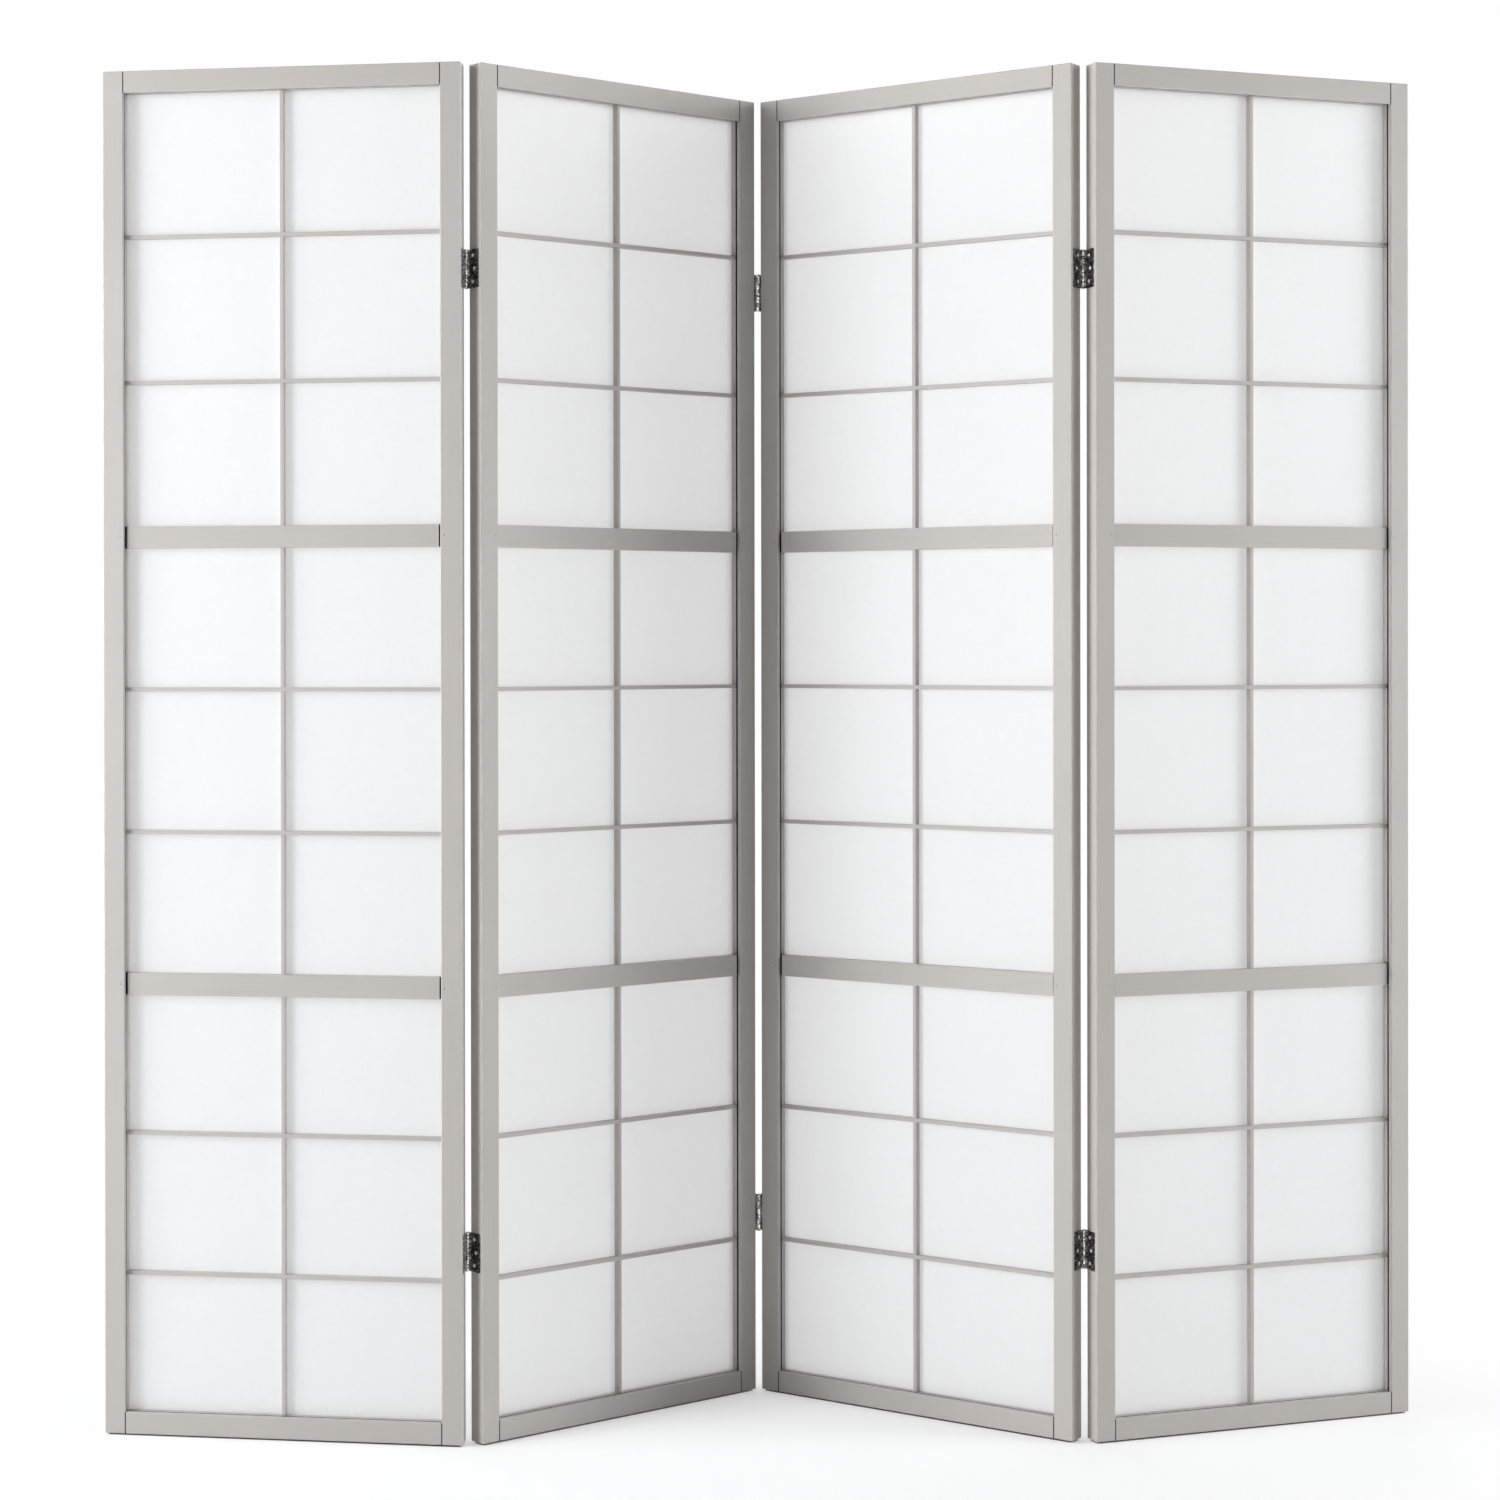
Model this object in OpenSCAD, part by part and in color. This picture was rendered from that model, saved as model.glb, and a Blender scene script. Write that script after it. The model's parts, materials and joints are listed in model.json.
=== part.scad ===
// Folding screen: four hinged lattice panels that stand in a zigzag.
//
// X runs from left to right along the front, Y goes from front to back and Z is up, in millimetres.
// The origin is on the floor, under the middle of the box round the standing screen.
// Each panel is built in its own frame: u along its width from its left edge, v from its front face
// (0) to its back face (frame_t), z up. at_panel() puts it where it stands.

/* [Panels] */
// Width of one panel over its stiles
panel_w = 453; // [420:1:500]
// Height of every panel
panel_h = 1700; // [1600:5:1850]
// Thickness of the stiles and end rails, front to back
frame_t = 24; // [22:0.5:30]
// Face width of a stile
stile_face = 26; // [22:0.5:34]
// Face height of the top and bottom rails
end_rail_face = 27; // [22:0.5:36]
// Chamfer on the edges of the stiles and end rails
frame_ease = 0.8; // [0.3:0.1:1.5]

/* [How it stands] */
// Turn of panel 2 from the line of the front
panel_2_turn = 38.1; // [20:0.1:60]
// Fold between panels 1 and 2, nought when they lie in one plane
fold_1 = 46.4; // [10:0.1:100]
// Fold between panels 2 and 3
fold_2 = 74.8; // [10:0.1:120]
// Fold between panels 3 and 4
fold_3 = 56.1; // [10:0.1:100]

/* [Rebate] */
// Thickness of the lip in front of the rebate
lip_t = 6.3; // [4.5:0.1:7.5]
// Width of the rebate that the lip covers
rebate_w = 7; // [6:0.1:8.5]
// Gap at each face where two pieces of joinery fit
joinery_gap = 0.1; // [0.05:0.01:0.3]

/* [Bays] */
// Height of the bottom bay
bottom_bay_h = 520.5; // [470:0.5:540]
// Height of the middle bay
middle_bay_h = 530; // [470:0.5:560]
// Face height of a middle rail
mid_rail_face = 27.5; // [20:0.5:34]
// Thickness of a middle rail, front to back
mid_rail_t = 11.5; // [10:0.1:13]
// Gap from a middle rail's shoulder to the stile
shoulder_gap = 2.5; // [1:0.1:4]
// Thickness of the tongue at each end of a middle rail
tongue_t = 5.5; // [4:0.1:8]

/* [Lattice] */
// Thickness of the edging strips, front to back
edging_t = 8; // [6:0.1:9]
// Gap between the lip and the edging strips, seen as a dark line
shadow_gap = 2.2; // [1:0.1:3]
// Face width of the thin bars
bar_face = 5; // [3.5:0.1:9]
// How far the thin bars stand in front of the edging strips
bar_proud = 0.5; // [0:0.1:1]
// Cross bars in each bay
bars_per_bay = 2; // [1:1:4]
// Chamfer on the edges of the lattice and the back beads
lattice_ease = 0.4; // [0.1:0.1:0.8]

/* [Sheet] */
// Thickness of the translucent sheet
sheet_t = 0.5; // [0.3:0.1:1.2]
// Gap from the sheet's edges to the walls of the rebate
sheet_edge_gap = 0.5; // [0.2:0.1:2]

/* [Fasteners] */
// Diameter of a corner dowel
dowel_d = 6; // [4:0.5:8]
// Length of a corner dowel
dowel_l = 30; // [20:1:36]
// Distance between the two dowels of a corner
dowel_pitch = 10; // [9:0.5:12]
// Free length of a dowel's bore past each end of the dowel
dowel_end_gap = 1; // [0.5:0.1:2]
// Diameter of a brad
brad_d = 1.6; // [1:0.1:2.2]
// Length of a brad
brad_l = 14; // [11:0.5:15]
// Distance from a brad to the stile's inner edge
brad_inset = 4.5; // [3:0.1:5]
// How far a brad's head is set below the stile's face
brad_set = 0.6; // [0.2:0.1:1.5]

/* [Hinges] */
// Height of a hinge
hinge_h = 48; // [40:0.5:60]
// Distance from the top of the panel to the middle of the upper hinge
hinge_from_top = 252; // [150:1:400]
// Distance from the bottom of the panel to the middle of the lower hinge
hinge_from_bottom = 234; // [150:1:400]
// Thickness of a hinge leaf
leaf_t = 1.2; // [0.8:0.1:1.8]
// Gap between two leaves when their panels lie in one plane
leaf_gap = 2.2; // [1:0.1:4]
// Bare strip of the stile's edge beyond the leaf
leaf_margin = 4.5; // [2:0.1:6]
// Outer diameter of the knuckles
knuckle_d = 6; // [5:0.1:7.5]
// Gap between the knuckles and the panel's face
knuckle_clear = 0.2; // [0.1:0.05:1]
// Gap between one knuckle and the next along the pin
knuckle_gap = 0.3; // [0.1:0.05:1]
// Diameter of a hinge pin
pin_d = 3; // [2:0.1:3.6]
// Radial play of the pin in its knuckles
pin_play = 0.05; // [0.02:0.01:0.1]
// Diameter of the domed caps on a pin
pin_cap_d = 4.8; // [4:0.1:5.4]
// Height of a pin's domed cap
pin_cap_h = 1.4; // [0.8:0.1:2.2]

/* [Hinge screws] */
// Shank diameter
screw_d = 2.8; // [2:0.1:3.4]
// Length over all
screw_l = 14; // [10:0.5:17]
// Head diameter
screw_head_d = 5.2; // [4.2:0.1:6]
// Length of the point
screw_point_l = 3; // [1.5:0.1:5]
// Width of the cross slot
slot_w = 0.7; // [0.4:0.1:1]
// Depth of the cross slot
slot_depth = 0.6; // [0.3:0.1:0.9]
// Length of each arm pair of the cross slot
slot_l = 2.8; // [1.8:0.1:3.4]
// Distance from the knuckle edge of the leaf to the outer screws
screw_inset = 8.5; // [6:0.1:10]
// How much farther from the knuckles the middle screw lies
screw_stagger = 3; // [0:0.1:4]
// Distance from the ends of the leaf to the outer screws
screw_end_inset = 8; // [6:0.1:12]
// Gap round a screw in its hole
screw_gap = 0.05; // [0.02:0.01:0.1]

/* [Hidden] */
$fn = 48;

// How far a cutting solid runs past the face that it cuts
past = 1;

paint_colour = [0.80, 0.785, 0.765];
lattice_colour = [0.83, 0.82, 0.80];
raw_wood_colour = [0.72, 0.60, 0.45];
sheet_colour = [0.97, 0.97, 0.96];
steel_colour = [0.62, 0.62, 0.63];
brad_colour = [0.45, 0.44, 0.42];

// Depths behind the frame's front face
edging_front = lip_t + shadow_gap;
sheet_front = edging_front + edging_t;
sheet_back = sheet_front + sheet_t;
bar_front = edging_front - bar_proud;
bar_t = sheet_front - bar_front;
mid_rail_front = sheet_front - mid_rail_t;
tongue_front = sheet_front - tongue_t;

// The opening between the lips and the larger space between the walls of the rebate
inner_left = stile_face;
inner_right = panel_w - stile_face;
inner_bottom = end_rail_face;
inner_top = panel_h - end_rail_face;
inner_w = inner_right - inner_left;
inner_h = inner_top - inner_bottom;
rebate_space_w = inner_w + 2 * rebate_w;
rebate_space_h = inner_h + 2 * rebate_w;

// The middle rails and the bays between them, each as [lower level, upper level]
lower_mid_rail = [inner_bottom + bottom_bay_h, inner_bottom + bottom_bay_h + mid_rail_face];
upper_mid_rail = [lower_mid_rail[1] + middle_bay_h, lower_mid_rail[1] + middle_bay_h + mid_rail_face];
mid_rail_spans = [lower_mid_rail, upper_mid_rail];
bays = [
    [inner_bottom, lower_mid_rail[0]],
    [lower_mid_rail[1], upper_mid_rail[0]],
    [upper_mid_rail[1], inner_top]
];

// The levels of the cross bars' middles: every pane of a bay is equally high
cross_bar_levels = [
    for (bay = bays)
        for (i = [1 : bars_per_bay])
            bay[0] + i * (bay[1] - bay[0] + bar_face) / (bars_per_bay + 1) - bar_face / 2
];

// Where the pin's axis lies from the panel's edge and from its face
pin_from_edge = leaf_t + leaf_gap / 2;
pin_from_face = knuckle_d / 2 + knuckle_clear;
leaf_w = frame_t - leaf_margin;
knuckle_h = (hinge_h - 2 * knuckle_gap) / 3;
hinge_levels = [hinge_from_bottom, panel_h - hinge_from_top];
head_depth = (screw_head_d - screw_d) / 2;

// Each panel's hinge sides as [edge, face that the knuckles are on, carries the outer knuckles]
LEFT = 0;
RIGHT = 1;
FRONT = 0;
BACK = 1;
hinge_sides = [
    [[RIGHT, BACK, false]],
    [[LEFT, BACK, true], [RIGHT, FRONT, true]],
    [[LEFT, FRONT, false], [RIGHT, BACK, true]],
    [[LEFT, BACK, false]]
];

// A plan vector turned by an angle
function turned(p, angle) = [p.x * cos(angle) - p.y * sin(angle), p.x * sin(angle) + p.y * cos(angle)];

// The pin's axis in a panel's own frame
function pin_place(edge, face) = [
    edge == LEFT ? -pin_from_edge : panel_w + pin_from_edge,
    face == FRONT ? -pin_from_face : frame_t + pin_from_face
];

// Panel 2 stands first, and each neighbour hangs on the pin that they share
turns = [
    panel_2_turn - fold_1,
    panel_2_turn,
    panel_2_turn - fold_2,
    panel_2_turn - fold_2 + fold_3
];
axis_1 = turned(pin_place(LEFT, BACK), turns[1]);
axis_2 = turned(pin_place(RIGHT, FRONT), turns[1]);
corner_1 = axis_1 - turned(pin_place(RIGHT, BACK), turns[0]);
corner_3 = axis_2 - turned(pin_place(LEFT, FRONT), turns[2]);
axis_3 = corner_3 + turned(pin_place(RIGHT, BACK), turns[2]);
corner_4 = axis_3 - turned(pin_place(LEFT, BACK), turns[3]);
corners = [corner_1, [0, 0], corner_3, corner_4];

// The middle of the box round all four panels in plan
plan_points = [
    for (i = [0 : 3])
        for (p = eased_outline(panel_w, frame_t, frame_ease))
            corners[i] + turned(p, turns[i])
];
plan_x = [for (p = plan_points) p.x];
plan_y = [for (p = plan_points) p.y];
plan_middle = [(min(plan_x) + max(plan_x)) / 2, (min(plan_y) + max(plan_y)) / 2];

PANELS = [1 : 4];
PANEL_NODES = [
    "left_stile", "right_stile", "top_rail", "bottom_rail", "corner_dowels",
    "mid_rails", "mid_rail_brads", "lattice_edging", "lattice_centre_bar", "lattice_cross_bars",
    "sheet", "back_beads", "hinge_leaves", "hinge_screws"
];

// The outline of a rectangle with chamfered corners
function eased_outline(a, b, ease) = [
    [ease, 0], [a - ease, 0], [a, ease], [a, b - ease],
    [a - ease, b], [ease, b], [0, b - ease], [0, ease]
];

// A block with all its edges chamfered
module eased_block(size, ease) {
    intersection() {
        linear_extrude(size.z) polygon(eased_outline(size.x, size.y, ease));
        translate([0, size.y, 0]) rotate([90, 0, 0])
            linear_extrude(size.y) polygon(eased_outline(size.x, size.z, ease));
        rotate([90, 0, 90])
            linear_extrude(size.x) polygon(eased_outline(size.y, size.z, ease));
    }
}

// Puts what is built in a panel's own frame where panel n stands
module at_panel(n) {
    translate([corners[n - 1].x - plan_middle.x, corners[n - 1].y - plan_middle.y, 0])
        rotate([0, 0, turns[n - 1]])
            children();
}

// The space behind the lips, all round the panel
module rebate_space() {
    translate([inner_left - rebate_w, lip_t, inner_bottom - rebate_w])
        cube([rebate_space_w, frame_t - lip_t + past, rebate_space_h]);
}

// The middles of the corner dowels, in the joints between stiles and end rails
module at_dowels() {
    rail_solid = end_rail_face - rebate_w;
    for (u = [inner_left, inner_right])
        for (middle = [rail_solid / 2, panel_h - rail_solid / 2])
            for (side = [-1, 1])
                translate([u, frame_t / 2, middle + side * dowel_pitch / 2])
                    rotate([0, 90, 0])
                        children();
}

module dowel_bores() {
    at_dowels() cylinder(d = dowel_d + joinery_gap, h = dowel_l + 2 * dowel_end_gap, center = true);
}

// The places of the brads' heads, in front of the middle rails' tongues
module at_brads() {
    for (u = [inner_left - brad_inset, inner_right + brad_inset])
        for (rail = mid_rail_spans)
            translate([u, 0, (rail[0] + rail[1]) / 2])
                rotate([-90, 0, 0])
                    children();
}

module brad_bores() {
    at_brads() translate([0, 0, -past]) cylinder(d = brad_d + joinery_gap, h = past + brad_set + brad_l);
}

// A frame on each hinge of one side: the origin on the pin's axis at the hinge's mid height, X towards
// the panel's edge and Y along the leaf, away from the knuckles
module at_hinges(edge, face) {
    place = pin_place(edge, face);
    for (level = hinge_levels)
        translate([place.x, place.y, level])
            mirror([edge, 0, 0])
                mirror([0, face, 0])
                    children();
}

// The places of a leaf's screws, with Z along the screw into the stile
module at_leaf_screws() {
    for (row = [-1, 0, 1])
        translate([
            pin_from_edge - leaf_t,
            pin_from_face + screw_inset + (row == 0 ? screw_stagger : 0),
            row * (hinge_h / 2 - screw_end_inset)
        ])
            rotate([0, 90, 0])
                children();
}

// The solid of a screw, grown by a gap all round for its hole
module screw_body(gap) {
    cylinder(d1 = screw_head_d + 2 * gap, d2 = screw_d + 2 * gap, h = head_depth);
    cylinder(d = screw_d + 2 * gap, h = screw_l - screw_point_l);
    translate([0, 0, screw_l - screw_point_l])
        cylinder(d1 = screw_d + 2 * gap, d2 = screw_d / 4 + 2 * gap, h = screw_point_l + gap);
}

// The holes of all screws in panel n
module screw_holes(n) {
    for (side = hinge_sides[n - 1])
        at_hinges(side[0], side[1])
            at_leaf_screws() {
                screw_body(screw_gap);
                translate([0, 0, -past]) cylinder(d = screw_head_d + 2 * screw_gap, h = past);
            }
}

// Stile whose outer edge is at u_start
module stile(n, u_start) {
    color(paint_colour)
        at_panel(n)
            difference() {
                translate([u_start, 0, 0]) eased_block([stile_face, frame_t, panel_h], frame_ease);
                rebate_space();
                dowel_bores();
                brad_bores();
                screw_holes(n);
            }
}

module left_stile(n) {
    stile(n, 0);
}

module right_stile(n) {
    stile(n, inner_right);
}

// End rail whose lower edge is at level
module end_rail(n, level) {
    color(paint_colour)
        at_panel(n)
            difference() {
                translate([inner_left, 0, level]) eased_block([inner_w, frame_t, end_rail_face], frame_ease);
                rebate_space();
                dowel_bores();
            }
}

module top_rail(n) {
    end_rail(n, inner_top);
}

module bottom_rail(n) {
    end_rail(n, 0);
}

module corner_dowels(n) {
    color(raw_wood_colour)
        at_panel(n)
            at_dowels()
                cylinder(d = dowel_d, h = dowel_l, center = true);
}

// The middle rails: a face between shoulders, on a thinner back that ends in the two tongues
module mid_rails(n) {
    tongue_start = inner_left - rebate_w + joinery_gap;
    shoulder = inner_left + shoulder_gap;
    color(paint_colour)
        at_panel(n)
            difference() {
                for (rail = mid_rail_spans) {
                    translate([shoulder, mid_rail_front, rail[0]])
                        eased_block([panel_w - 2 * shoulder, mid_rail_t, mid_rail_face], lattice_ease);
                    translate([tongue_start, tongue_front, rail[0]])
                        cube([panel_w - 2 * tongue_start, tongue_t, mid_rail_face]);
                }
                centre_bar_space(joinery_gap);
                brad_bores();
            }
}

module mid_rail_brads(n) {
    color(brad_colour)
        at_panel(n)
            at_brads()
                translate([0, 0, brad_set]) cylinder(d = brad_d, h = brad_l - joinery_gap);
}

// The strips that line the opening behind the lips: a side strip in each bay, cut short at the middle
// rails, and an end strip between the side strips at the top and at the bottom
module lattice_edging(n) {
    strip_w = rebate_w - joinery_gap;
    side_spans = [
        [inner_bottom - strip_w, lower_mid_rail[0] - joinery_gap],
        [lower_mid_rail[1] + joinery_gap, upper_mid_rail[0] - joinery_gap],
        [upper_mid_rail[1] + joinery_gap, inner_top + strip_w]
    ];
    color(lattice_colour)
        at_panel(n) {
            for (u = [inner_left - strip_w, inner_right])
                for (span = side_spans)
                    translate([u, edging_front, span[0]])
                        eased_block([strip_w, edging_t, span[1] - span[0]], lattice_ease);
            for (level = [inner_bottom - strip_w, inner_top])
                translate([inner_left + joinery_gap, edging_front, level])
                    eased_block([inner_w - 2 * joinery_gap, edging_t, strip_w], lattice_ease);
        }
}

// The room of the centre bar, grown by a gap on each side
module centre_bar_space(gap) {
    translate([(panel_w - bar_face) / 2 - gap, bar_front - gap, inner_bottom])
        cube([bar_face + 2 * gap, bar_t + gap + past, inner_h]);
}

module lattice_centre_bar(n) {
    color(lattice_colour)
        at_panel(n)
            difference() {
                translate([(panel_w - bar_face) / 2, bar_front, inner_bottom])
                    eased_block([bar_face, bar_t, inner_h], lattice_ease);
                for (level = cross_bar_levels)
                    translate([(panel_w - bar_face) / 2 - past, bar_front - past, level - bar_face / 2 - joinery_gap])
                        cube([bar_face + 2 * past, past + bar_t / 2 + joinery_gap, bar_face + 2 * joinery_gap]);
            }
}

module lattice_cross_bars(n) {
    color(lattice_colour)
        at_panel(n)
            difference() {
                for (level = cross_bar_levels)
                    translate([inner_left, bar_front, level - bar_face / 2])
                        eased_block([inner_w, bar_t, bar_face], lattice_ease);
                translate([(panel_w - bar_face) / 2 - joinery_gap, bar_front + bar_t / 2, inner_bottom])
                    cube([bar_face + 2 * joinery_gap, bar_t / 2 + past, inner_h]);
            }
}

module sheet(n) {
    color(sheet_colour)
        at_panel(n)
            translate([
                inner_left - rebate_w + sheet_edge_gap,
                sheet_front,
                inner_bottom - rebate_w + sheet_edge_gap
            ])
                cube([rebate_space_w - 2 * sheet_edge_gap, sheet_t, rebate_space_h - 2 * sheet_edge_gap]);
}

// The beads that fill the rebate behind the sheet: two run its full height, two lie between them
module back_beads(n) {
    bead_w = rebate_w - joinery_gap;
    bead_t = frame_t - sheet_back;
    side_h = rebate_space_h - 2 * joinery_gap;
    color(paint_colour)
        at_panel(n) {
            for (u = [inner_left - bead_w, inner_right])
                translate([u, sheet_back, inner_bottom - bead_w])
                    eased_block([bead_w, bead_t, side_h], lattice_ease);
            for (level = [inner_bottom - bead_w, inner_top])
                translate([inner_left + joinery_gap, sheet_back, level])
                    eased_block([inner_w - 2 * joinery_gap, bead_t, bead_w], lattice_ease);
        }
}

// One knuckle with its middle at a level, and the tab that joins it to its leaf
module knuckle(level) {
    translate([0, 0, level - knuckle_h / 2]) {
        cylinder(d = knuckle_d, h = knuckle_h);
        translate([pin_from_edge - leaf_t, 0, 0]) cube([leaf_t, pin_from_face + leaf_t, knuckle_h]);
    }
}

// A leaf in the frame of at_hinges(), with the two outer knuckles or the middle one
module leaf(outer) {
    levels = outer ? [-knuckle_h - knuckle_gap, knuckle_h + knuckle_gap] : [0];
    difference() {
        union() {
            translate([pin_from_edge - leaf_t, pin_from_face, -hinge_h / 2])
                cube([leaf_t, leaf_w, hinge_h]);
            for (level = levels)
                knuckle(level);
        }
        cylinder(d = pin_d + 2 * pin_play, h = hinge_h + 2 * past, center = true);
        at_leaf_screws() {
            screw_body(screw_gap);
            translate([0, 0, -past]) cylinder(d = screw_head_d + 2 * screw_gap, h = past);
        }
    }
}

module hinge_leaves(n) {
    color(steel_colour)
        at_panel(n)
            for (side = hinge_sides[n - 1])
                at_hinges(side[0], side[1])
                    leaf(side[2]);
}

module hinge_screws(n) {
    color(steel_colour)
        at_panel(n)
            for (side = hinge_sides[n - 1])
                at_hinges(side[0], side[1])
                    at_leaf_screws()
                        difference() {
                            screw_body(0);
                            for (turn = [0, 90])
                                rotate([0, 0, turn])
                                    translate([-slot_l / 2, -slot_w / 2, -past])
                                        cube([slot_l, slot_w, past + slot_depth]);
                        }
}

// The domed cap of a pin, its flat face at nought
module pin_cap() {
    sphere_r = (pow(pin_cap_d / 2, 2) + pow(pin_cap_h, 2)) / (2 * pin_cap_h);
    intersection() {
        translate([0, 0, pin_cap_h - sphere_r]) sphere(r = sphere_r);
        cylinder(d = 2 * pin_cap_d, h = pin_cap_h + past);
    }
}

// The pins on one hinge side of panel n, with a cap at both ends
module hinge_pins(n, edge, face) {
    color(steel_colour)
        at_panel(n)
            at_hinges(edge, face) {
                cylinder(d = pin_d, h = hinge_h, center = true);
                for (end = [0, 1])
                    mirror([0, 0, end])
                        translate([0, 0, hinge_h / 2])
                            pin_cap();
            }
}

for (n = PANELS) left_stile(n);
for (n = PANELS) right_stile(n);
for (n = PANELS) top_rail(n);
for (n = PANELS) bottom_rail(n);
for (n = PANELS) corner_dowels(n);
for (n = PANELS) mid_rails(n);
for (n = PANELS) mid_rail_brads(n);
for (n = PANELS) lattice_edging(n);
for (n = PANELS) lattice_centre_bar(n);
for (n = PANELS) lattice_cross_bars(n);
for (n = PANELS) sheet(n);
for (n = PANELS) back_beads(n);
for (n = PANELS) hinge_leaves(n);
for (n = PANELS) hinge_screws(n);
hinge_pins(2, LEFT, BACK);  // hinge_pins_1_2
hinge_pins(2, RIGHT, FRONT);  // hinge_pins_2_3
hinge_pins(3, RIGHT, BACK);  // hinge_pins_3_4
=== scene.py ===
"""A folding screen of four hinged lattice panels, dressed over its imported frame.

The wooden pieces are the frame's own nodes under satin paint. The translucent sheets and the hinges
are modelled here and stand for their nodes. Lengths are metres, +X runs to the right along the front,
+Y to the back and +Z up. Each panel also has a frame of its own: u along its width from its middle, v
from its front face to its back, and z up.
"""

from __future__ import annotations

import json
import logging
import math
from dataclasses import dataclass
from enum import Enum
from functools import cached_property

import bmesh
import bpy
import numpy as np
from bmesh.types import BMEdge, BMesh, BMVert
from bpy.types import (
    Camera, Light, Material, Mesh, Node, NodeOutputs, NodeSocket, NodeTree, Object)
from mathutils import Matrix, Vector, noise

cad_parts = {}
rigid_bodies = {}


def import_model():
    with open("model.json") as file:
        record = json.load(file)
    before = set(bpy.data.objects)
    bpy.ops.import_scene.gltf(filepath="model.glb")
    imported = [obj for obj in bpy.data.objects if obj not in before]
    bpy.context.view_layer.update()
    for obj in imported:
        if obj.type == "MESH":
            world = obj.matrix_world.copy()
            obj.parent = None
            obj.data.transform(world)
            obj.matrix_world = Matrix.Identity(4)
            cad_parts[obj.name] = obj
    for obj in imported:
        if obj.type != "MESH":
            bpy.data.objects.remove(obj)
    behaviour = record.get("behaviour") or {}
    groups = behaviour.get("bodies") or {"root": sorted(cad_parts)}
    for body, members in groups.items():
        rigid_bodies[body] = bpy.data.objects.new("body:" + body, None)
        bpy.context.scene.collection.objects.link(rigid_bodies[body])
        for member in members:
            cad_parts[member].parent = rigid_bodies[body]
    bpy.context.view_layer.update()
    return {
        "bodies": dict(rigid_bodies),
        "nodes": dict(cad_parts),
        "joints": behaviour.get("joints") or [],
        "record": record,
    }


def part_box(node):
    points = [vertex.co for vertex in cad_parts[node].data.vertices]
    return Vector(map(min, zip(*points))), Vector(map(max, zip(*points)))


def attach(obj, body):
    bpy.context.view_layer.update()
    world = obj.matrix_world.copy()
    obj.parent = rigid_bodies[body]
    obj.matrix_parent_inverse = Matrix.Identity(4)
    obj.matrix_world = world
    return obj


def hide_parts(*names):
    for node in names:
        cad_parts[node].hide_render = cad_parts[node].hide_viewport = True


log = logging.getLogger("folding_screen")

MM = 0.001
SMOOTH_BELOW = math.radians(35)
BREAK_ABOVE = math.radians(40)
WELD_WITHIN = 1e-7
LYING = Matrix.Rotation(math.pi / 2, 4, "Y")
Colour = tuple[float, float, float, float]
WHITE: Colour = (1.0, 1.0, 1.0, 1.0)


class Edge(Enum):
    """The side of a panel that a hinge is on."""

    LEFT = 1
    RIGHT = -1


class Face(Enum):
    """The face of a panel that a hinge's knuckles stand at."""

    FRONT = 1
    BACK = -1


class Grain(Enum):
    """The way that the grain of a piece of wood runs."""

    UPRIGHT = "upright"
    ALONG = "along"


@dataclass(frozen=True)
class ScreenSizes:
    """The sizes of the joinery that the finishes and the new pieces fit."""

    frame_t: float = 24 * MM
    lip_t: float = 6.3 * MM
    rebate_w: float = 7 * MM
    shoulder_gap: float = 2.5 * MM
    mid_rail_front: float = 5 * MM
    edging_front: float = 8.5 * MM
    sheet_front: float = 16.5 * MM
    sheet_edge_gap: float = 0.5 * MM
    # Width of the painted shade lines beside the lip
    shade_line_w: float = 0.8 * MM


@dataclass(frozen=True)
class HingeSizes:
    """The sizes of one hinge."""

    height: float = 48 * MM
    leaf_t: float = 1.2 * MM
    leaf_w: float = 19.5 * MM
    leaf_corner_r: float = 1.6 * MM
    pin_from_edge: float = 2.3 * MM
    pin_from_face: float = 3.2 * MM
    knuckle_r: float = 3 * MM
    knuckle_bore_r: float = 1.55 * MM
    knuckle_gap: float = 0.3 * MM
    knuckle_root: float = 0.3 * MM
    pin_r: float = 1.5 * MM
    cap_r: float = 2.4 * MM
    cap_h: float = 1.4 * MM
    screw_r: float = 1.4 * MM
    screw_head_r: float = 2.6 * MM
    screw_l: float = 14 * MM
    screw_point_l: float = 3 * MM
    slot_half_w: float = 0.35 * MM
    slot_half_l: float = 1.4 * MM
    slot_depth: float = 0.6 * MM
    slot_turn: float = 0.4
    slot_turn_step: float = 1.1
    head_dome: float = 0.75 * MM
    screw_inset: float = 8.5 * MM
    screw_stagger: float = 3 * MM
    screw_end_inset: float = 8 * MM
    screw_gap: float = 0.05 * MM
    rim_slack: float = 0.02 * MM
    edge_break: float = 0.12 * MM
    curl_deg: float = 292.0
    curl_steps: int = 34
    corner_steps: int = 6
    cap_steps: int = 6
    pin_steps: int = 32
    screw_steps: int = 28

    @property
    def knuckle_h(self) -> float:
        """Height of one of the three knuckles."""
        return (self.height - 2 * self.knuckle_gap) / 3


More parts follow.
